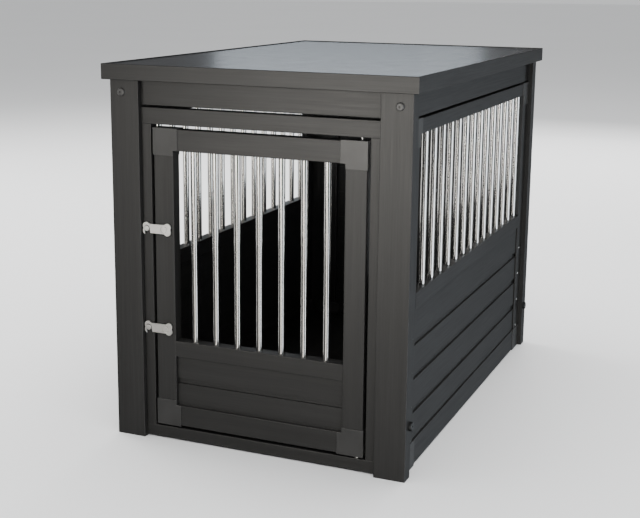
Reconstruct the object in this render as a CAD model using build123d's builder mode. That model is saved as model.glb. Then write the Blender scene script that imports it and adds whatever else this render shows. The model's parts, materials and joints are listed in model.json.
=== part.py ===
from build123d import *
import os

# Furniture-style pet crate: boarded panels between four flat posts, a panelled top, steel tube
# bars and a framed door. Millimetres. The origin is the middle of the footprint on the floor,
# -Y is the door side, +X is to the right of someone facing the door, +Z is up.

# ---- Overall ----
width = 589.0
depth = 899.0
height = 691.0
top_overhang = 11.0

# ---- Top ----
top_thickness = 28.0
top_frame_width = 45.0
top_lip_width = 3.5
top_lip_height = 2.0
top_panel_thickness = 12.0
top_panel_clearance = 0.25

# ---- Posts and header rails ----
post_width = 57.0
post_thickness = 27.0
header_height = 44.0
header_recess = 12.0
header_gap = 3.5

# ---- Panel frames: the fixed front, the sides, the back and the door are equally thick ----
panel_recess = 10.0
panel_thickness = 22.0
panel_end_gap = 2.0
floor_clearance = 2.0
stile_width = 38.5
arris = 1.0

side_top_rail = 26.0
side_bottom_rail = 46.0
side_mid_rail_top = 317.0
side_mid_rail = 29.0
back_top_rail = 38.5
back_bottom_rail = 46.0

front_top_rail = 29.5
front_bottom_rail = 22.3
front_stile = 19.0

# ---- Door ----
door_side_gap = 5.5
door_top_gap = 7.0
door_bottom_gap = 5.2
door_end_rail = 38.5
door_mid_rail_top = 191.5
door_mid_rail = 30.0

# ---- Boards ----
board_thickness = 8.0
door_board_recess = 7.0
wall_board_recess = 3.0
board_pitch = 62.0
door_board_count = 2
channel_width = 10.0
channel_depth = 3.5
channel_slope = 15.0
board_gap = 0.2
tongue = 5.5
groove_depth = 6.0
groove_clearance = 0.2

# ---- Bars ----
bar_diameter = 12.0
bar_wall = 1.0
bar_insertion = 12.0
bar_clearance = 0.1
bar_end_clearance = 0.3
door_bar_count = 7
door_bar_end_space = 35.4
side_bar_count = 15
side_bar_end_space = 12.0

# ---- Corner caps ----
cap_thickness = 1.5
cap_clearance = 0.1
cap_reach = 47.5
cap_round = 0.5

# ---- Hinge ----
hinge_inset = 12.0
hinge_from_face = 9.0
hinge_pin_diameter = 6.0
hinge_pin_in_frame = 18.0
hinge_pin_in_door = 20.0
hinge_bush_diameter = 9.0
hinge_bush_length = 24.0
hinge_flange_diameter = 13.0
hinge_flange_thickness = 1.5
hinge_running_clearance = 0.05
hinge_seat_clearance = 0.03
hinge_thrust_gap = 0.2

# ---- Latches ----
latch_heights = (397.5, 212.5)
latch_pivot_inset = 20.0
latch_plate_thickness = 3.0
latch_bar_half_height = 8.5
latch_lobe_radius = 7.0
latch_lobe_spread = 4.6
latch_tail_offset = 6.3
latch_nose_offset = 1.6
latch_neck_round = 3.0
latch_notch_round = 1.2
latch_edge_round = 0.6
latch_pin_diameter = 6.0
latch_pin_depth = 12.0
latch_running_clearance = 0.05
latch_collar_diameter = 14.0
latch_collar_thickness = 1.3
latch_gap = 0.2
latch_head_diameter = 11.0
latch_head_thickness = 2.2
latch_head_round = 0.8
latch_dish_diameter = 14.0
latch_dish_depth = 1.8
latch_peg_diameter = 10.0
latch_peg_height = 6.0
latch_hook_clearance = 0.8
latch_hook_sweep = 40.0

# ---- Connector bolts, dowels and screws ----
bolt_diameter = 5.0
bolt_passing_clearance = 0.3
bolt_thread_clearance = 0.05
drill_extra = 0.5
header_bolt_head = 14.6
header_bolt_head_height = 3.6
header_bolt_reach = 20.0
frame_bolt_head = 16.6
frame_bolt_head_height = 5.5
frame_bolt_height = 95.0
frame_bolt_reach = 13.0
bolt_head_round = 2.4
socket_across = 4.0
socket_depth = 2.0
dowel_diameter = 8.0
dowel_length = 30.0
dowel_clearance = 0.05
side_dowel_heights = (120.0, 480.0)
header_dowel_height = 635.0
top_dowel_inset = 14.0
top_dowel_rise = 12.0
screw_head_diameter = 6.0
screw_head_height = 1.3
screw_head_round = 0.8
screw_shank_diameter = 3.0
screw_length = 16.0
screw_clearance = 0.05
screw_inset = 16.0
screw_heights = (55.0, 117.0, 179.0, 239.0)

# ---- Floor ----
floor_thickness = 14.0
floor_side_gap = 2.5
cleat_height = 8.0
cleat_width = 15.0
cleat_setback = 60.0

# ---- Values worked out from the sizes above ----
same_place = 0.01
post_x = width / 2 - top_overhang
post_y = depth / 2 - top_overhang
post_inner_x = post_x - post_width
post_inner_y = post_y - post_thickness
post_top = height - top_thickness
header_bottom = post_top - header_height
panel_top = header_bottom - header_gap
panel_out = (-panel_recess - panel_thickness, -panel_recess)
panel_middle = -panel_recess - panel_thickness / 2
header_out = (-header_recess - panel_thickness, -header_recess)
header_middle = -header_recess - panel_thickness / 2
header_bolt_height = header_bottom + header_height / 2
header_dowel_out = -(header_recess + post_thickness) / 2
up_direction = Vector(0, 0, 1)

door_half = post_inner_x - front_stile - door_side_gap
door_bottom = floor_clearance + front_bottom_rail + door_bottom_gap
door_top = panel_top - front_top_rail - door_top_gap
hinge_x = door_half - hinge_inset
hinge_out = -panel_recess - hinge_from_face
latch_pivot_x = -door_half + latch_pivot_inset
latch_peg_x = -post_inner_x + front_stile / 2
latch_reach = latch_pivot_x - latch_peg_x


def groove(recess):
    """The groove that holds boards whose faces lie a recess behind the panel's face."""
    board_face = panel_out[1] - recess
    return (board_face - board_thickness - groove_clearance, board_face + groove_clearance)


door_groove_out = groove(door_board_recess)
wall_groove_out = groove(wall_board_recess)

# Every wall has a plane on the outer face of its posts. Points on it are (along, up, out): along
# runs to the right as seen from outside, up is the height above the floor, out is away from the
# crate.
front = Plane(origin=(0, -post_y, 0), x_dir=(1, 0, 0), z_dir=(0, -1, 0))
back = Plane(origin=(0, post_y, 0), x_dir=(-1, 0, 0), z_dir=(0, 1, 0))
left = Plane(origin=(-post_x, 0, 0), x_dir=(0, -1, 0), z_dir=(-1, 0, 0))
right = Plane(origin=(post_x, 0, 0), x_dir=(0, 1, 0), z_dir=(1, 0, 0))


def middle(span):
    return (span[0] + span[1]) / 2


def length(span):
    return span[1] - span[0]


def ordered(span):
    return (min(span), max(span))


def seat(plane, along, up, out, direction):
    """The plane at a point of a wall that faces a direction, as the mouth of a hole does."""
    return Plane(origin=plane.from_local_coords((along, up, out)), z_dir=direction)


def save(piece, name):
    piece.part.label = name
    export_step(piece.part, f"parts/{name}.step")


def member(name, plane, along, up, out, grain, cuts=(), holes=()):
    """A straight piece with softened long edges, then its rectangular cuts and its holes."""
    with BuildPart() as piece:
        with BuildSketch(plane.offset(out[0])):
            with Locations((middle(along), middle(up))):
                Rectangle(length(along), length(up))
        extrude(amount=length(out))
        fillet(piece.edges().filter_by(Axis(plane.origin, grain)), arris)
        for cut_along, cut_up, cut_out in cuts:
            with BuildSketch(plane.offset(cut_out[0])):
                with Locations((middle(cut_along), middle(cut_up))):
                    Rectangle(length(cut_along), length(cut_up))
            extrude(amount=length(cut_out), mode=Mode.SUBTRACT)
        for mouth, radius, hole_depth in holes:
            with Locations(mouth):
                Hole(radius, hole_depth)
    save(piece, name)


def boards(name, plane, opening, joints, groove_out):
    """Level boards with their ends in the frame's grooves and a channel along every joint."""
    board_back = groove_out[0] + groove_clearance
    channel_floor = board_back + board_thickness - channel_depth
    ends = (opening[0] - tongue, opening[1] + tongue)
    with BuildPart() as piece:
        for low, high in zip(joints, joints[1:]):
            foot = (low + channel_width / 2) if low > joints[0] else (low - tongue)
            head = (high - channel_width / 2) if high < joints[-1] else (high + tongue)
            base = (min(low + board_gap / 2, foot), max(high - board_gap / 2, head))
            with BuildSketch(plane.offset(board_back)):
                with Locations((middle(ends), middle(base))):
                    Rectangle(length(ends), length(base))
            extrude(amount=channel_floor - board_back)
            with BuildSketch(plane.offset(channel_floor)):
                with Locations((middle(ends), (foot + head) / 2)):
                    Rectangle(length(ends), head - foot)
            extrude(amount=channel_depth, taper=channel_slope)
    save(piece, name)


def joint_heights(low, high):
    """Board joints from the top down at the board pitch; the lowest board takes the rest."""
    heights = [high]
    while heights[-1] - board_pitch > low + board_pitch / 2:
        heights.append(heights[-1] - board_pitch)
    return [low] + heights[::-1]


def bar_places(opening, count, end_space):
    pitch = (length(opening) - 2 * end_space) / (count - 1)
    return [opening[0] + end_space + index * pitch for index in range(count)]


def bars(name, plane, places, low, high):
    """Steel tubes standing in blind sockets in the rails below and above the opening."""
    foot_point = plane.from_local_coords((0, low - bar_insertion, panel_middle))
    foot = Plane(origin=foot_point, x_dir=plane.x_dir, z_dir=up_direction)
    with BuildPart() as piece:
        with BuildSketch(foot):
            with Locations(*[(place, 0) for place in places]):
                Circle(bar_diameter / 2)
                Circle(bar_diameter / 2 - bar_wall, mode=Mode.SUBTRACT)
        extrude(amount=high - low + 2 * bar_insertion)
    save(piece, name)


def sockets(plane, places, up, direction):
    radius = bar_diameter / 2 + bar_clearance
    socket_end = bar_insertion + bar_end_clearance
    return [(seat(plane, place, up, panel_middle, direction), radius, socket_end)
            for place in places]


def turned(name, seats, steps, rounding=0.0, hexagon=False):
    """Round pieces, one on every seat. A step is (radius, low, high); the last is the head."""
    with BuildPart() as piece:
        for place in seats:
            for radius, low, high in steps:
                with BuildSketch(place.offset(low)):
                    Circle(radius)
                extrude(amount=high - low)
            if rounding:
                crown = place.offset(steps[-1][2]).origin
                rims = piece.edges().filter_by(GeomType.CIRCLE)
                rims = rims.filter_by(lambda rim: (rim.arc_center - crown).length < same_place)
                fillet(rims, rounding)
            if hexagon:
                with BuildSketch(place.offset(steps[-1][2] - socket_depth)):
                    RegularPolygon(socket_across / 2, 6, major_radius=False)
                extrude(amount=socket_depth, mode=Mode.SUBTRACT)
    save(piece, name)


def corner_caps(name, panels, holes=()):
    """Thin moulded caps over panel corners: both faces and the outer edges are wrapped."""
    with BuildPart() as piece:
        for plane, along, up, opening_along, opening_up in panels:
            with BuildSketch(plane.offset(panel_out[0] - cap_thickness)):
                for side in (0, 1):
                    for end in (0, 1):
                        edge = along[side] + (2 * side - 1) * cap_thickness
                        rim = up[end] + (2 * end - 1) * cap_thickness
                        to_middle = (cap_reach + cap_thickness) / 2
                        with Locations((
                            edge - (2 * side - 1) * to_middle,
                            rim - (2 * end - 1) * to_middle,
                        )):
                            Rectangle(2 * to_middle, 2 * to_middle)
                with Locations((middle(opening_along), middle(opening_up))):
                    Rectangle(length(opening_along), length(opening_up), mode=Mode.SUBTRACT)
            extrude(amount=panel_thickness + 2 * cap_thickness)
            face_level = panel_out[1] + cap_thickness
            rims = piece.edges().filter_by(
                lambda line: all(abs(plane.to_local_coords(line @ at).Z - face_level) < same_place
                                 for at in (0, 0.5, 1)))
            fillet(rims, cap_round)
            with BuildSketch(plane.offset(panel_out[0] - cap_clearance)):
                with Locations((middle(along), middle(up))):
                    Rectangle(length(along) + 2 * cap_clearance, length(up) + 2 * cap_clearance)
            extrude(amount=panel_thickness + 2 * cap_clearance, mode=Mode.SUBTRACT)
        for mouth, radius, hole_depth in holes:
            with Locations(mouth):
                Hole(radius, hole_depth)
    save(piece, name)


def top_member(name, plane, reach, half, holes):
    """One mitred side of the top's frame: a ledge for the panel behind a thin raised lip."""
    inner_reach = reach - top_frame_width
    lip_reach = reach - top_lip_width
    with BuildPart() as piece:
        with BuildSketch(Plane(origin=(0, 0, post_top), x_dir=plane.x_dir, z_dir=up_direction)):
            Polygon(
                (-half, -reach),
                (half, -reach),
                (half - top_frame_width, -inner_reach),
                (-half + top_frame_width, -inner_reach),
                align=None,
            )
        extrude(amount=top_thickness)
        outer_edges = piece.edges().filter_by(Axis(plane.origin, plane.x_dir))
        fillet(outer_edges.filter_by(lambda line: line.length > 2 * half - top_frame_width), arris)
        ledge = height - top_lip_height - top_panel_thickness
        with BuildSketch(Plane(origin=(0, 0, ledge), x_dir=plane.x_dir, z_dir=up_direction)):
            with Locations((0, 0)):
                Rectangle(2 * (half - top_lip_width), 2 * lip_reach)
        extrude(amount=top_lip_height + top_panel_thickness, mode=Mode.SUBTRACT)
        for mouth, radius, hole_depth in holes:
            with Locations(mouth):
                Hole(radius, hole_depth)
    save(piece, name)


def dowel_hole(mouth, inside):
    return (mouth, dowel_diameter / 2 + dowel_clearance, inside + drill_extra)


os.makedirs("parts", exist_ok=True)
dowel_seats = []
header_bolt_seats = []
frame_bolt_seats = []

# ---- Posts, with the seats of everything that fastens to them ----
dowel_in_post = dowel_length / 2 - panel_end_gap / 2
for wall, post_names in (
    (front, ("post_front_left", "post_front_right")),
    (back, ("post_back_right", "post_back_left")),
):
    for sign, name in zip((-1, 1), post_names):
        sideways = wall.x_dir * sign
        header_along = sign * (post_x + header_middle)
        panel_along = sign * (post_x + panel_middle)
        top_along = sign * (post_inner_x + top_dowel_inset)
        header_bolt = seat(wall, header_along, header_bolt_height, 0, wall.z_dir)
        frame_bolt = seat(wall, sign * post_x, frame_bolt_height, panel_middle, sideways)
        top_dowel = seat(wall, top_along, post_top, -post_thickness / 2, up_direction)
        header_dowel = seat(
            wall, sign * post_inner_x, header_dowel_height, header_dowel_out, -sideways
        )
        side_dowels = [
            seat(wall, panel_along, level, -post_thickness, -wall.z_dir)
            for level in side_dowel_heights
        ]
        header_bolt_seats.append(header_bolt)
        frame_bolt_seats.append(frame_bolt)
        dowel_seats.append(top_dowel.offset(top_dowel_rise))
        dowel_seats.append(header_dowel.offset(dowel_length / 2))
        dowel_seats.extend(mouth.offset(dowel_length - dowel_in_post) for mouth in side_dowels)
        passing = bolt_diameter / 2 + bolt_passing_clearance
        member(
            name, wall, ordered((sign * post_inner_x, sign * post_x)), (0, post_top),
            (-post_thickness, 0), up_direction,
            holes=[
                (header_bolt, passing, post_thickness),
                (frame_bolt, passing, post_width),
                dowel_hole(top_dowel, dowel_length - top_dowel_rise),
                dowel_hole(header_dowel, dowel_length / 2),
            ] + [dowel_hole(mouth, dowel_in_post) for mouth in side_dowels],
        )

# ---- Header rails under the top ----
for wall, name, half in (
    (front, "header_front", post_inner_x),
    (back, "header_back", post_inner_x),
):
    member(
        name, wall, (-half, half), (header_bottom, post_top), header_out, wall.x_dir,
        holes=[
            dowel_hole(
                seat(wall, sign * half, header_dowel_height, header_dowel_out, wall.x_dir * sign),
                dowel_length / 2,
            )
            for sign in (-1, 1)
        ],
    )
for wall, name, half in (
    (left, "header_left", post_inner_y),
    (right, "header_right", post_inner_y),
):
    member(
        name, wall, (-half, half), (header_bottom, post_top), header_out, wall.x_dir,
        holes=[
            (
                seat(wall, sign * half, header_bolt_height, header_middle, wall.x_dir * sign),
                bolt_diameter / 2 + bolt_thread_clearance,
                header_bolt_reach + drill_extra,
            )
            for sign in (-1, 1)
        ],
    )

# ---- Top: four mitred members around an inset panel ----
for wall, name, reach, half in (
    (front, "top_frame_front", depth / 2, width / 2),
    (back, "top_frame_back", depth / 2, width / 2),
):
    top_member(
        name, wall, reach, half,
        holes=[
            dowel_hole(
                seat(wall, sign * (post_inner_x + top_dowel_inset), post_top,
                     -post_thickness / 2, -up_direction),
                top_dowel_rise,
            )
            for sign in (-1, 1)
        ],
    )
for wall, name, reach, half in (
    (left, "top_frame_left", width / 2, depth / 2),
    (right, "top_frame_right", width / 2, depth / 2),
):
    top_member(name, wall, reach, half, holes=[])

with BuildPart() as top_panel:
    with BuildSketch(Plane.XY.offset(height - top_lip_height - top_panel_thickness)):
        inset = 2 * (top_lip_width + top_panel_clearance)
        Rectangle(width - inset, depth - inset)
    extrude(amount=top_panel_thickness)
save(top_panel, "top_panel")

# ---- Fixed frame around the door ----
frame_bottom = (floor_clearance, floor_clearance + front_bottom_rail)
frame_top = (panel_top - front_top_rail, panel_top)
pin_hole = hinge_pin_diameter / 2 + hinge_seat_clearance
for name, up, mouth_up, direction in (
    ("front_frame_bottom_rail", frame_bottom, frame_bottom[1], up_direction),
    ("front_frame_top_rail", frame_top, frame_top[0], -up_direction),
):
    member(
        name, front, (-post_inner_x, post_inner_x), up, panel_out, front.x_dir,
        holes=[
            (
                seat(front, hinge_x, mouth_up, hinge_out, direction),
                pin_hole,
                hinge_pin_in_frame + drill_extra,
            )
        ],
    )

peg_seats = [
    seat(front, latch_peg_x, level, panel_out[1], front.z_dir) for level in latch_heights
]
latch_pin_hole = (latch_pin_diameter / 2 + hinge_seat_clearance, latch_pin_depth + drill_extra)
for sign, name, pegs in (
    (-1, "front_frame_stile_left", peg_seats),
    (1, "front_frame_stile_right", []),
):
    bolt_mouth = seat(
        front, sign * post_inner_x, frame_bolt_height, panel_middle, front.x_dir * sign
    )
    member(
        name, front, ordered((sign * (post_inner_x - front_stile), sign * post_inner_x)),
        (frame_bottom[1], frame_top[0]), panel_out, up_direction,
        holes=[
            (
                bolt_mouth,
                bolt_diameter / 2 + bolt_thread_clearance,
                frame_bolt_reach + drill_extra,
            )
        ] + [(mouth, *latch_pin_hole) for mouth in pegs],
    )

# ---- Door ----
door_along = (-door_half, door_half)
door_up = (door_bottom, door_top)
door_opening = (-door_half + stile_width, door_half - stile_width)
door_bar_up = (door_mid_rail_top, door_top - door_end_rail)
door_board_up = (door_bottom + door_end_rail, door_mid_rail_top - door_mid_rail)
door_groove_up = (door_board_up[0] - groove_depth, door_board_up[1] + groove_depth)
rivet_seats = [
    seat(front, latch_pivot_x, level, panel_out[1], front.z_dir) for level in latch_heights
]
hinge_bottom = seat(front, hinge_x, door_bottom, hinge_out, -up_direction)
hinge_top = seat(front, hinge_x, door_top, hinge_out, up_direction)
bush_hole = hinge_bush_diameter / 2 + hinge_seat_clearance
bush_in_door = hinge_bush_length - hinge_flange_thickness - cap_thickness

member(
    "door_stile_left", front, (-door_half, door_opening[0]), door_up, panel_out, up_direction,
    cuts=[((door_opening[0] - groove_depth, door_opening[0]), door_groove_up, door_groove_out)],
    holes=[(mouth, *latch_pin_hole) for mouth in rivet_seats],
)
member(
    "door_stile_right", front, (door_opening[1], door_half), door_up, panel_out, up_direction,
    cuts=[((door_opening[1], door_opening[1] + groove_depth), door_groove_up, door_groove_out)],
    holes=[
        (mouth, bush_hole, bush_in_door + drill_extra) for mouth in (hinge_bottom, hinge_top)
    ],
)
door_places = bar_places(door_opening, door_bar_count, door_bar_end_space)
member(
    "door_top_rail", front, door_opening, (door_bar_up[1], door_top), panel_out, front.x_dir,
    holes=sockets(front, door_places, door_bar_up[1], -up_direction),
)
member(
    "door_mid_rail", front, door_opening, (door_board_up[1], door_bar_up[0]), panel_out,
    front.x_dir,
    cuts=[(door_opening, (door_board_up[1], door_groove_up[1]), door_groove_out)],
    holes=sockets(front, door_places, door_bar_up[0], up_direction),
)
member(
    "door_bottom_rail", front, door_opening, (door_bottom, door_board_up[0]), panel_out,
    front.x_dir,
    cuts=[(door_opening, (door_groove_up[0], door_board_up[0]), door_groove_out)],
)
door_board_height = length(door_board_up) / door_board_count
boards(
    "door_boards", front, door_opening,
    [door_board_up[0] + index * door_board_height for index in range(door_board_count + 1)],
    door_groove_out,
)
bars("door_bars", front, door_places, *door_bar_up)
corner_caps(
    "door_corner_caps",
    [(front, door_along, door_up, door_opening, (door_board_up[0], door_bar_up[1]))],
    holes=[
        (mouth.offset(cap_thickness), bush_hole, cap_thickness)
        for mouth in (hinge_bottom, hinge_top)
    ],
)

# ---- Hinge: a pin fixed in each rail of the front frame runs in a bush in the door ----
flange_level = cap_thickness + hinge_flange_thickness
with BuildPart() as hinge_bushes:
    for mouth in (hinge_bottom, hinge_top):
        with BuildSketch(mouth.offset(flange_level - hinge_bush_length)):
            Circle(hinge_bush_diameter / 2)
        extrude(amount=hinge_bush_length)
        with BuildSketch(mouth.offset(cap_thickness)):
            Circle(hinge_flange_diameter / 2)
        extrude(amount=hinge_flange_thickness)
        with Locations(mouth.offset(flange_level)):
            Hole(hinge_pin_diameter / 2 + hinge_running_clearance, hinge_bush_length)
save(hinge_bushes, "hinge_bushes")

pin_radius = hinge_pin_diameter / 2
turned(
    "hinge_pin_top", [hinge_top],
    [(pin_radius, -hinge_pin_in_door, door_top_gap + hinge_pin_in_frame)],
)
turned(
    "hinge_pin_bottom", [hinge_bottom],
    [
        (hinge_flange_diameter / 2, flange_level + hinge_thrust_gap, door_bottom_gap),
        (pin_radius, -hinge_pin_in_door, door_bottom_gap + hinge_pin_in_frame),
    ],
)

# ---- Latches: a lever on the door hooks over a peg on the front frame ----
lever_front = latch_collar_thickness + latch_gap + latch_plate_thickness
dish_floor = lever_front - latch_dish_depth
head_back = dish_floor + latch_gap
turned(
    "latch_rivets", rivet_seats,
    [
        (latch_collar_diameter / 2, 0, latch_collar_thickness),
        (latch_pin_diameter / 2, -latch_pin_depth, head_back),
        (latch_head_diameter / 2, head_back, head_back + latch_head_thickness),
    ],
    rounding=latch_head_round,
)
turned(
    "latch_pegs", peg_seats,
    [
        (latch_pin_diameter / 2, -latch_pin_depth, 0),
        (latch_peg_diameter / 2, 0, latch_peg_height),
    ],
    rounding=latch_head_round,
)
for name, pivot in zip(("upper_latch_lever", "lower_latch_lever"), rivet_seats):
    lever_back = Plane(
        origin=pivot.offset(latch_collar_thickness + latch_gap).origin,
        x_dir=front.x_dir,
        z_dir=front.z_dir,
    )
    nose = -latch_reach - latch_nose_offset
    with BuildPart() as lever:
        with BuildSketch(lever_back) as outline:
            with Locations((middle((nose, latch_tail_offset)), 0)):
                Rectangle(latch_tail_offset - nose, 2 * latch_bar_half_height)
            with Locations(*[
                (x, sign * latch_lobe_spread)
                for x in (nose, latch_tail_offset)
                for sign in (-1, 1)
            ]):
                Circle(latch_lobe_radius)
            corners = outline.vertices()
            notches = corners.filter_by(
                lambda corner: abs((corner - lever_back.origin).Z) < same_place
            )
            necks = [corner for corner in corners if corner not in notches]
            fillet(notches, latch_notch_round)
            fillet(necks, latch_neck_round)
            hook_arc = Edge.make_circle(
                latch_reach, start_angle=180, end_angle=180 + latch_hook_sweep
            )
            SlotArc(
                hook_arc, latch_peg_diameter + 2 * latch_hook_clearance, mode=Mode.SUBTRACT
            )
        extrude(amount=latch_plate_thickness)
        level_faces = lever.faces().filter_by(Axis(lever_back.origin, front.z_dir))
        lever_face = level_faces.sort_by(Axis.Y)[0]
        fillet(lever_face.edges(), latch_edge_round)
        with BuildSketch(lever_back.offset(latch_plate_thickness - latch_dish_depth)):
            Circle(latch_dish_diameter / 2)
        extrude(amount=latch_dish_depth, mode=Mode.SUBTRACT)
        with Locations(lever_back.offset(latch_plate_thickness)):
            Hole(latch_pin_diameter / 2 + latch_running_clearance, latch_plate_thickness)
    save(lever, name)

# ---- Side panels ----
side_half = post_inner_y - panel_end_gap
side_opening = (-side_half + stile_width, side_half - stile_width)
side_up = (floor_clearance, panel_top)
side_board_up = (floor_clearance + side_bottom_rail, side_mid_rail_top - side_mid_rail)
side_groove_up = (side_board_up[0] - groove_depth, side_board_up[1] + groove_depth)
side_bar_up = (side_mid_rail_top, panel_top - side_top_rail)
side_places = bar_places(side_opening, side_bar_count, side_bar_end_space)
dowel_in_panel = dowel_length / 2 - panel_end_gap / 2
screw_seats = []
for wall, label, ends in ((left, "left", ("back", "front")), (right, "right", ("front", "back"))):
    for sign, end in zip((-1, 1), ends):
        inner = sign * (side_half - stile_width)
        heads = [
            seat(wall, inner + sign * screw_inset, level, panel_out[1], wall.z_dir)
            for level in screw_heights
        ]
        screw_seats.extend(heads)
        member(
            f"{label}_stile_{end}", wall, ordered((inner, sign * side_half)), side_up, panel_out,
            up_direction,
            cuts=[(ordered((inner, inner + sign * groove_depth)), side_groove_up, wall_groove_out)],
            holes=[
                (mouth, screw_shank_diameter / 2 + screw_clearance, screw_length + drill_extra)
                for mouth in heads
            ] + [
                dowel_hole(
                    seat(wall, sign * side_half, level, panel_middle, wall.x_dir * sign),
                    dowel_in_panel,
                )
                for level in side_dowel_heights
            ],
        )
    member(
        f"{label}_top_rail", wall, side_opening, (side_bar_up[1], panel_top), panel_out,
        wall.x_dir,
        holes=sockets(wall, side_places, side_bar_up[1], -up_direction),
    )
    member(
        f"{label}_mid_rail", wall, side_opening, (side_board_up[1], side_bar_up[0]), panel_out,
        wall.x_dir,
        cuts=[(side_opening, (side_board_up[1], side_groove_up[1]), wall_groove_out)],
        holes=sockets(wall, side_places, side_bar_up[0], up_direction),
    )
    member(
        f"{label}_bottom_rail", wall, side_opening, (floor_clearance, side_board_up[0]),
        panel_out, wall.x_dir,
        cuts=[(side_opening, (side_groove_up[0], side_board_up[0]), wall_groove_out)],
    )
    side_joints = joint_heights(*side_board_up)
    boards(f"{label}_boards", wall, side_opening, side_joints, wall_groove_out)
    bars(f"{label}_bars", wall, side_places, *side_bar_up)

# ---- Back panel ----
back_half = post_inner_x - panel_end_gap
back_opening = (-back_half + stile_width, back_half - stile_width)
back_board_up = (floor_clearance + back_bottom_rail, panel_top - back_top_rail)
back_groove_up = (back_board_up[0] - groove_depth, back_board_up[1] + groove_depth)
for sign, name in ((-1, "back_stile_right"), (1, "back_stile_left")):
    inner = sign * (back_half - stile_width)
    member(
        name, back, ordered((inner, sign * back_half)), side_up, panel_out, up_direction,
        cuts=[(ordered((inner, inner + sign * groove_depth)), back_groove_up, wall_groove_out)],
        holes=[
            (
                seat(back, sign * back_half, frame_bolt_height, panel_middle, back.x_dir * sign),
                bolt_diameter / 2 + bolt_thread_clearance,
                frame_bolt_reach + drill_extra,
            )
        ],
    )
member(
    "back_top_rail", back, back_opening, (back_board_up[1], panel_top), panel_out, back.x_dir,
    cuts=[(back_opening, (back_board_up[1], back_groove_up[1]), wall_groove_out)],
)
member(
    "back_bottom_rail", back, back_opening, (floor_clearance, back_board_up[0]), panel_out,
    back.x_dir,
    cuts=[(back_opening, (back_groove_up[0], back_board_up[0]), wall_groove_out)],
)
boards("back_boards", back, back_opening, joint_heights(*back_board_up), wall_groove_out)

side_bands = (side_board_up[0], side_bar_up[1])
corner_caps(
    "panel_corner_caps",
    [
        (left, (-side_half, side_half), side_up, side_opening, side_bands),
        (right, (-side_half, side_half), side_up, side_opening, side_bands),
        (back, (-back_half, back_half), side_up, back_opening, back_board_up),
    ],
)

# ---- Floor ----
floor_low = floor_clearance + cleat_height
with BuildPart() as floor_panel:
    with BuildSketch(Plane.XY.offset(floor_low)):
        Rectangle(
            2 * (post_x + panel_out[0] - floor_side_gap),
            2 * (post_y + panel_out[0] - floor_side_gap),
        )
    extrude(amount=floor_thickness)
save(floor_panel, "floor_panel")

with BuildPart() as floor_cleats:
    for sign in (-1, 1):
        with BuildSketch(Plane.XY.offset(floor_clearance)):
            with Locations((sign * (post_x + panel_out[0] - cleat_width / 2), 0)):
                Rectangle(cleat_width, 2 * (side_half - cleat_setback))
        extrude(amount=cleat_height)
save(floor_cleats, "floor_cleats")

# ---- Fasteners ----
turned(
    "header_bolts", header_bolt_seats,
    [
        (bolt_diameter / 2, -post_thickness - header_bolt_reach, 0),
        (header_bolt_head / 2, 0, header_bolt_head_height),
    ],
    rounding=bolt_head_round, hexagon=True,
)
turned(
    "frame_bolts", frame_bolt_seats,
    [
        (bolt_diameter / 2, -post_width - frame_bolt_reach, 0),
        (frame_bolt_head / 2, 0, frame_bolt_head_height),
    ],
    rounding=bolt_head_round, hexagon=True,
)
turned("dowels", dowel_seats, [(dowel_diameter / 2, -dowel_length, 0)])
turned(
    "stile_screws", screw_seats,
    [
        (screw_shank_diameter / 2, -screw_length, 0),
        (screw_head_diameter / 2, 0, screw_head_height),
    ],
    rounding=screw_head_round,
)
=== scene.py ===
import json
import math

import bpy
from mathutils import Matrix, Vector


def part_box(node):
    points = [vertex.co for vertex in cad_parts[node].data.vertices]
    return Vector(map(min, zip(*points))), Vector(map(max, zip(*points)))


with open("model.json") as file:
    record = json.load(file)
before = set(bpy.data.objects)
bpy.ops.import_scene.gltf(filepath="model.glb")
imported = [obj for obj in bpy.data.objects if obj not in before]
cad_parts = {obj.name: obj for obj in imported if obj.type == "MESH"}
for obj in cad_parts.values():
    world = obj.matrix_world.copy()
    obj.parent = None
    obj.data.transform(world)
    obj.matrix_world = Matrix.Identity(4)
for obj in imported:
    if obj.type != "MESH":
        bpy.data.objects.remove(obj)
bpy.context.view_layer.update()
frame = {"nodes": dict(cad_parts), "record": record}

MM = 0.001
AXES = {"x": 0, "y": 1, "z": 2}

# Camera, fitted to the crate's outside corners: metres, degrees, and millimetres for the lens.
CAMERA_PLACE = (0.8721, -2.2386, 0.8446)
CAMERA_AZIMUTH, CAMERA_ELEVATION, CAMERA_ROLL = 22.60, 11.65, 0.58
CAMERA_LENS = 66.645
CAMERA_SENSOR = 36.0
CAMERA_SHIFT = -0.06

# Board foil, from the darkest to the palest grain, and the pale edges: partly worn foil, partly a
# painted edge highlight.
BOARD_DARK, BOARD_LIGHT = (0.0125, 0.0122, 0.0118), (0.0255, 0.0249, 0.0240)
BOARD_ROUGH, BOARD_SMOOTH = 0.43, 0.37
BOARD_SPECULAR = 0.42
EDGE_WEAR_AND_HIGHLIGHT = (0.30, 0.29, 0.28)
EDGE_WEAR_AND_HIGHLIGHT_SHARE = 0.10
PORE_SHADE = 0.55

# Studio.
FLOOR_REACH, FLOOR_SIDES = 40.0, 48
SKY_TINT, SKY, MIRRORED_SKY = (0.97, 0.985, 1.0), 0.72, 0.08
WHITE, WARM, COOL, PALE_COOL = (1.0, 1.0, 1.0), (1.0, 0.965, 0.90), (0.82, 0.91, 1.0), (0.88, 0.94, 1.0)


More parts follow.
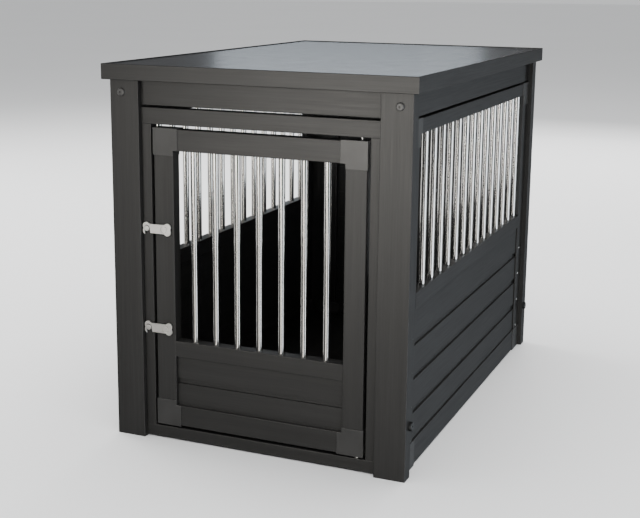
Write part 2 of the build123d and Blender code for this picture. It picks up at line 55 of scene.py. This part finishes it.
# ---------------------------------------------------------------- camera
def make_camera():
    """The photograph's viewpoint."""
    azimuth, elevation, roll = map(
        math.radians, (CAMERA_AZIMUTH, CAMERA_ELEVATION, CAMERA_ROLL)
    )
    data = bpy.data.cameras.new("camera")
    data.sensor_fit = "HORIZONTAL"
    data.sensor_width = CAMERA_SENSOR
    data.lens = CAMERA_LENS
    data.shift_y = CAMERA_SHIFT
    camera = bpy.data.objects.new("camera", data)
    camera.location = CAMERA_PLACE
    forward = Vector((
        -math.sin(azimuth) * math.cos(elevation),
        math.cos(azimuth) * math.cos(elevation),
        -math.sin(elevation),
    ))
    level = forward.cross(Vector((0, 0, 1))).normalized()
    above = level.cross(forward)
    right = math.cos(roll) * level + math.sin(roll) * above
    up = right.cross(forward)
    axes = Matrix((right, up, -forward)).transposed()
    camera.rotation_mode = "QUATERNION"
    camera.rotation_quaternion = axes.to_quaternion()
    bpy.context.scene.collection.objects.link(camera)
    bpy.context.scene.camera = camera


# ---------------------------------------------------------------- node helpers
class Shader:
    """A short way to write a node tree."""

    def __init__(self, name):
        self.material = bpy.data.materials.new(name)
        self.material.use_nodes = True
        self.tree = self.material.node_tree
        self.tree.nodes.clear()
        self.output = self.tree.nodes.new("ShaderNodeOutputMaterial")
        self.shader = self.tree.nodes.new("ShaderNodeBsdfPrincipled")
        self.link(self.shader.outputs["BSDF"], self.output.inputs["Surface"])
        self.place = self.tree.nodes.new("ShaderNodeTexCoord").outputs["Object"]

    def link(self, source, target):
        self.tree.links.new(source, target)

    def put(self, value, target):
        if isinstance(value, bpy.types.NodeSocket):
            self.link(value, target)
        else:
            target.default_value = value

    def math(self, operation, *values):
        node = self.tree.nodes.new("ShaderNodeMath")
        node.operation = operation
        for value, target in zip(values, node.inputs):
            self.put(value, target)
        return node.outputs[0]

    def stretched(self, scale, offset=(0, 0, 0)):
        node = self.tree.nodes.new("ShaderNodeMapping")
        self.link(self.place, node.inputs["Vector"])
        node.inputs["Scale"].default_value = scale
        node.inputs["Location"].default_value = offset
        return node.outputs[0]

    def noise(self, vector, detail=2.0, roughness=0.5, distortion=0.0):
        node = self.tree.nodes.new("ShaderNodeTexNoise")
        self.link(vector, node.inputs["Vector"])
        node.inputs["Scale"].default_value = 1.0
        node.inputs["Detail"].default_value = detail
        node.inputs["Roughness"].default_value = roughness
        node.inputs["Distortion"].default_value = distortion
        return node.outputs["Fac"]

    def span(self, value, low, high, to_low, to_high):
        node = self.tree.nodes.new("ShaderNodeMapRange")
        self.link(value, node.inputs["Value"])
        for name, number in (("From Min", low), ("From Max", high),
                             ("To Min", to_low), ("To Max", to_high)):
            node.inputs[name].default_value = number
        return node.outputs["Result"]

    def mix(self, factor, first, second):
        node = self.tree.nodes.new("ShaderNodeMix")
        node.data_type = "RGBA"
        self.put(factor, node.inputs["Factor"])
        colour_inputs = [socket for socket in node.inputs if socket.type == "RGBA"]
        for value, target in zip((first, second), colour_inputs):
            if not isinstance(value, bpy.types.NodeSocket):
                value = (*value, 1.0)
            self.put(value, target)
        return next(socket for socket in node.outputs if socket.type == "RGBA")

    def edges(self, radius):
        """1 along outside edges, 0 on flat ground."""
        bevel = self.tree.nodes.new("ShaderNodeBevel")
        bevel.samples = 6
        bevel.inputs["Radius"].default_value = radius
        plain = self.tree.nodes.new("ShaderNodeNewGeometry").outputs["Normal"]
        dot = self.tree.nodes.new("ShaderNodeVectorMath")
        dot.operation = "DOT_PRODUCT"
        self.link(bevel.outputs[0], dot.inputs[0])
        self.link(plain, dot.inputs[1])
        return self.span(dot.outputs["Value"], 1.0, 0.75, 0.0, 1.0)

    def bump(self, height, distance, strength):
        node = self.tree.nodes.new("ShaderNodeBump")
        node.inputs["Strength"].default_value = strength
        node.inputs["Distance"].default_value = distance
        self.link(height, node.inputs["Height"])
        self.link(node.outputs[0], self.shader.inputs["Normal"])

    def colour(self, value):
        self.put(value, self.shader.inputs["Base Color"])

    def rough(self, value):
        self.put(value, self.shader.inputs["Roughness"])


def along_grain(axis, along, across):
    """A noise scale, in features per metre, that is drawn out along one axis."""
    scale = [across, across, across]
    scale[AXES[axis]] = along
    return tuple(scale)


def charcoal(axis):
    """Foil-wrapped board: fine brushed grain along one axis with slow tone changes."""
    s = Shader(f"charcoal_{axis}")
    offset = tuple(AXES[axis] * step for step in (1.3, 2.21, 2.99))
    fine = s.noise(s.stretched(along_grain(axis, 9, 520), offset=offset), detail=3, roughness=0.65)
    streak = s.noise(s.stretched(along_grain(axis, 2.2, 95), offset=offset), detail=3,
                     roughness=0.6, distortion=0.3)
    broad = s.noise(s.stretched(along_grain(axis, 1.5, 14), offset=offset), detail=2)
    pores = s.noise(s.stretched(along_grain(axis, 30, 1500), offset=offset), detail=1)
    fine = s.span(fine, 0.32, 0.68, 0.0, 1.0)
    streak = s.span(streak, 0.35, 0.65, 0.0, 1.0)
    tone = s.math("ADD", s.math("MULTIPLY", fine, 0.42), s.math("MULTIPLY", streak, 0.38))
    tone = s.math("ADD", tone, s.math("MULTIPLY", broad, 0.20))
    base = s.mix(tone, BOARD_DARK, BOARD_LIGHT)
    pore = s.span(pores, 0.60, 0.72, 0.0, 0.35)
    base = s.mix(pore, base, tuple(channel * PORE_SHADE for channel in BOARD_DARK))
    # Pale edge lines: partly rubbed foil, partly a painted highlight along every outside edge.
    edge = s.edges(1.2 * MM)
    scuffs = s.noise(s.stretched((60, 60, 60)), detail=4, roughness=0.7)
    edge = s.math("MULTIPLY", edge, s.span(scuffs, 0.35, 0.65, 0.35, 1.0))
    base = s.mix(s.math("MULTIPLY", edge, EDGE_WEAR_AND_HIGHLIGHT_SHARE), base, EDGE_WEAR_AND_HIGHLIGHT)
    s.colour(base)
    s.rough(s.span(fine, 0.0, 1.0, BOARD_ROUGH, BOARD_SMOOTH))
    s.shader.inputs["Specular IOR Level"].default_value = BOARD_SPECULAR
    s.bump(s.math("ADD", s.math("MULTIPLY", fine, 0.6), s.math("MULTIPLY", pores, 0.4)),
           0.12 * MM, 0.14)
    return s.material


def top_laminate():
    """The top's shinier sheet: faint grain along the crate, with smears and clouds."""
    s = Shader("top_laminate")
    fine = s.noise(s.stretched((420, 7, 420)), detail=3, roughness=0.6)
    cloud = s.noise(s.stretched((5, 3, 5)), detail=3)
    smear = s.noise(s.stretched((30, 22, 30)), detail=4, roughness=0.6)
    base = s.mix(s.span(fine, 0.35, 0.65, 0.0, 1.0), (0.030, 0.031, 0.033), (0.036, 0.037, 0.040))
    base = s.mix(s.span(cloud, 0.35, 0.7, 0.0, 0.3), base, (0.040, 0.041, 0.043))
    s.colour(base)
    s.rough(s.span(smear, 0.3, 0.7, 0.20, 0.26))
    s.bump(fine, 0.03 * MM, 0.3)
    return s.material


def cap_plastic():
    """Moulded corner caps: a fine texture, with a painted highlight along the edges."""
    s = Shader("cap_plastic")
    grain = s.noise(s.stretched((900, 900, 900)), detail=2)
    cloud = s.noise(s.stretched((25, 25, 25)), detail=3)
    base = s.mix(s.span(cloud, 0.3, 0.7, 0.0, 1.0), (0.028, 0.0274, 0.0266), (0.038, 0.0372, 0.036))
    # Painted highlight: the edges are mixed towards pale grey.
    edge = s.edges(0.9 * MM)
    base = s.mix(s.math("MULTIPLY", edge, 0.25), base, (0.42, 0.41, 0.40))
    s.colour(base)
    s.rough(s.span(grain, 0.3, 0.7, 0.30, 0.42))
    s.bump(grain, 0.06 * MM, 0.4)
    return s.material


def tube_steel():
    """Stainless tube, brushed lengthwise."""
    s = Shader("tube_steel")
    brush = s.noise(s.stretched((700, 700, 3)), detail=2, roughness=0.5)
    cloud = s.noise(s.stretched((30, 30, 12)), detail=2)
    base = s.mix(s.span(cloud, 0.3, 0.7, 0.0, 1.0), (0.60, 0.59, 0.57), (0.74, 0.725, 0.70))
    s.colour(base)
    s.shader.inputs["Metallic"].default_value = 1.0
    s.rough(s.span(brush, 0.3, 0.7, 0.15, 0.20))
    s.bump(brush, 0.005 * MM, 0.10)
    return s.material


def plated(name, low, high, roughness):
    """Bare or plated metal with light smears and fine tool lines."""
    s = Shader(name)
    smear = s.noise(s.stretched((220, 220, 220)), detail=4, roughness=0.65)
    lines = s.noise(s.stretched((160, 160, 2400)), detail=1)
    base = s.mix(s.span(smear, 0.3, 0.7, 0.0, 1.0), low, high)
    s.colour(base)
    s.shader.inputs["Metallic"].default_value = 1.0
    s.rough(s.span(lines, 0.3, 0.7, roughness[0], roughness[1]))
    s.bump(smear, 0.02 * MM, 0.25)
    return s.material


def coated(name, dark, light, roughness):
    """Moulded plastic or a coated bolt, with a painted highlight along the edges."""
    s = Shader(name)
    grain = s.noise(s.stretched((700, 700, 700)), detail=3)
    base = s.mix(s.span(grain, 0.3, 0.7, 0.0, 1.0), dark, light)
    # Painted highlight: the edges are mixed towards a paler colour.
    edge = s.edges(0.6 * MM)
    pale = tuple(channel * 3 for channel in light)
    base = s.mix(s.math("MULTIPLY", edge, 0.25), base, pale)
    s.colour(base)
    s.rough(s.span(grain, 0.3, 0.7, *roughness))
    s.bump(grain, 0.05 * MM, 0.35)
    return s.material


def beech():
    """Dowels: plain flecked wood."""
    s = Shader("beech")
    fleck = s.noise(s.stretched((300, 300, 300)), detail=3)
    s.colour(s.mix(s.span(fleck, 0.3, 0.7, 0.0, 1.0), (0.50, 0.36, 0.21), (0.62, 0.47, 0.30)))
    s.rough(s.span(fleck, 0.3, 0.7, 0.55, 0.7))
    s.bump(fleck, 0.05 * MM, 0.4)
    return s.material


def studio_floor():
    """A matt pale sweep with the faintest cloud in it."""
    s = Shader("studio_floor")
    cloud = s.noise(s.stretched((0.6, 0.6, 0.6)), detail=2)
    s.colour(s.mix(cloud, (0.90, 0.90, 0.90), (0.93, 0.93, 0.93)))
    s.rough(s.span(cloud, 0.3, 0.7, 0.85, 0.9))
    s.shader.inputs["Specular IOR Level"].default_value = 0.2
    return s.material


# ---------------------------------------------------------------- materials on the CAD nodes
board_materials = {axis: charcoal(axis) for axis in AXES}
other_materials = {
    "top_surface": top_laminate(),
    "corner_cap": cap_plastic(),
    "stainless_tube": tube_steel(),
    "latch_metal": plated("latch_plate", (0.90, 0.89, 0.87), (0.95, 0.94, 0.92), (0.30, 0.42)),
    "pin_steel": plated("pin_steel", (0.52, 0.52, 0.51), (0.66, 0.66, 0.64), (0.22, 0.34)),
    "bush_plastic": coated("bush_plastic", (0.012, 0.012, 0.012), (0.022, 0.022, 0.022), (0.4, 0.5)),
    "black_bolt": coated("black_bolt", (0.008, 0.008, 0.008), (0.016, 0.016, 0.016), (0.28, 0.4)),
    "grey_bolt": coated("grey_bolt", (0.040, 0.039, 0.038), (0.062, 0.060, 0.058), (0.32, 0.45)),
    "dowel_wood": beech(),
}


def grain_axis(node):
    """Grain runs the long way of every piece; boards and the floor run across."""
    low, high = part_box(node)
    size = high - low
    if node.endswith("_boards"):
        return "y" if size.y > size.x else "x"
    return max(AXES, key=lambda axis: size[AXES[axis]])


slots = {part["node"]: part["material_slot"] for part in frame["record"]["subparts"]}
for node, piece in frame["nodes"].items():
    slot = slots[node]
    material = other_materials.get(slot) or board_materials[grain_axis(node)]
    piece.data.materials.clear()
    piece.data.materials.append(material)


# ---------------------------------------------------------------- stage and lights
def make_floor():
    mesh = bpy.data.meshes.new("studio_floor")
    angles = [2 * math.pi * side / FLOOR_SIDES for side in range(FLOOR_SIDES)]
    ring = [(FLOOR_REACH * math.cos(a), FLOOR_REACH * math.sin(a), 0.0) for a in angles]
    mesh.from_pydata(ring, [], [list(range(FLOOR_SIDES))])
    mesh.materials.append(studio_floor())
    floor = bpy.data.objects.new("studio_floor", mesh)
    floor.visible_glossy = False
    bpy.context.scene.collection.objects.link(floor)


def soft_light(name, place, direction, size, radiance, tint, card):
    """An area light: a lamp that lights surfaces, or a card that only shows in reflections."""
    data = bpy.data.lights.new(name, "AREA")
    data.shape = "RECTANGLE"
    data.size, data.size_y = size
    data.energy = radiance * math.pi * data.size * data.size_y
    data.color = tint
    light = bpy.data.objects.new(name, data)
    light.location = place
    light.visible_camera = False
    light.visible_glossy = card
    light.visible_diffuse = not card
    light.rotation_mode = "QUATERNION"
    light.rotation_quaternion = Vector(direction).to_track_quat("-Z", "Y")
    bpy.context.scene.collection.objects.link(light)


def make_cards():
    """Upright panels that the tubes, the boards and the top mirror; they may reach underground."""
    inward = {"front": (0, 1, 0), "right": (-1, 0, 0), "back": (0, -1, 0), "left": (1, 0, 0)}
    for name, wall, place, size, radiance, tint in (
        ("front_card", "front", (-0.5, -3.4, 0.75), (2.2, 1.7), 3.6, WARM),
        ("front_low_card", "front", (0.8, -3.4, -0.95), (1.3, 1.7), 3.0, WARM),
        ("front_glow", "front", (-0.85, -3.3, 0.4), (0.7, 0.8), 9.0, WARM),
        ("right_card", "right", (3.0, -0.5, 0.2), (2.6, 3.2), 3.6, PALE_COOL),
        ("far_right_card", "back", (2.35, 4.5, -0.9), (0.8, 3.4), 1.4, COOL),
        ("top_card", "back", (-1.6, 4.0, 1.75), (1.6, 1.3), 1.35, COOL),
        ("left_card", "left", (-3.2, 0.4, 0.2), (3.0, 3.0), 1.8, WHITE),
        ("back_card", "back", (-0.4, 4.2, -0.4), (1.6, 2.4), 1.4, WHITE),
    ):
        soft_light(name, place, inward[wall], size, radiance, tint, card=True)


def make_lamps():
    """Soft lamps round the crate and a large one overhead."""
    for name, place, target, size, radiance, tint in (
        ("front_lamp", (1.0, -2.2, 1.7), (0.2, -0.4, 0.5), (0.9, 0.9), 5.8, WARM),
        ("right_lamp", (1.5, -1.3, 0.9), (0.3, -0.3, 0.4), (0.7, 0.7), 3.2, COOL),
        ("left_lamp", (-3.6, 0.8, 2.2), (0.0, 0.0, 0.3), (2.4, 2.0), 7.5, WHITE),
        ("back_lamp", (0.0, 4.0, 2.2), (0.0, 0.0, 0.3), (2.4, 2.0), 7.5, WHITE),
        ("overhead", (0.0, 0.0, 4.5), (0.0, 0.0, 0.0), (5.0, 5.0), 2.9, WHITE),
    ):
        direction = Vector(target) - Vector(place)
        soft_light(name, place, direction, size, radiance, tint, card=False)


def make_world():
    """An even pale sky, dimmer in reflections so that metal and lacquer keep their contrast."""
    world = bpy.data.worlds.new("studio")
    bpy.context.scene.world = world
    world.use_nodes = True
    tree = world.node_tree
    background = tree.nodes["Background"]
    background.inputs["Color"].default_value = (*SKY_TINT, 1.0)
    path = tree.nodes.new("ShaderNodeLightPath")
    level = tree.nodes.new("ShaderNodeMapRange")
    level.inputs["To Min"].default_value = SKY
    level.inputs["To Max"].default_value = MIRRORED_SKY
    tree.links.new(path.outputs["Is Glossy Ray"], level.inputs["Value"])
    tree.links.new(level.outputs["Result"], background.inputs["Strength"])


make_camera()
make_floor()
make_world()
make_cards()
make_lamps()
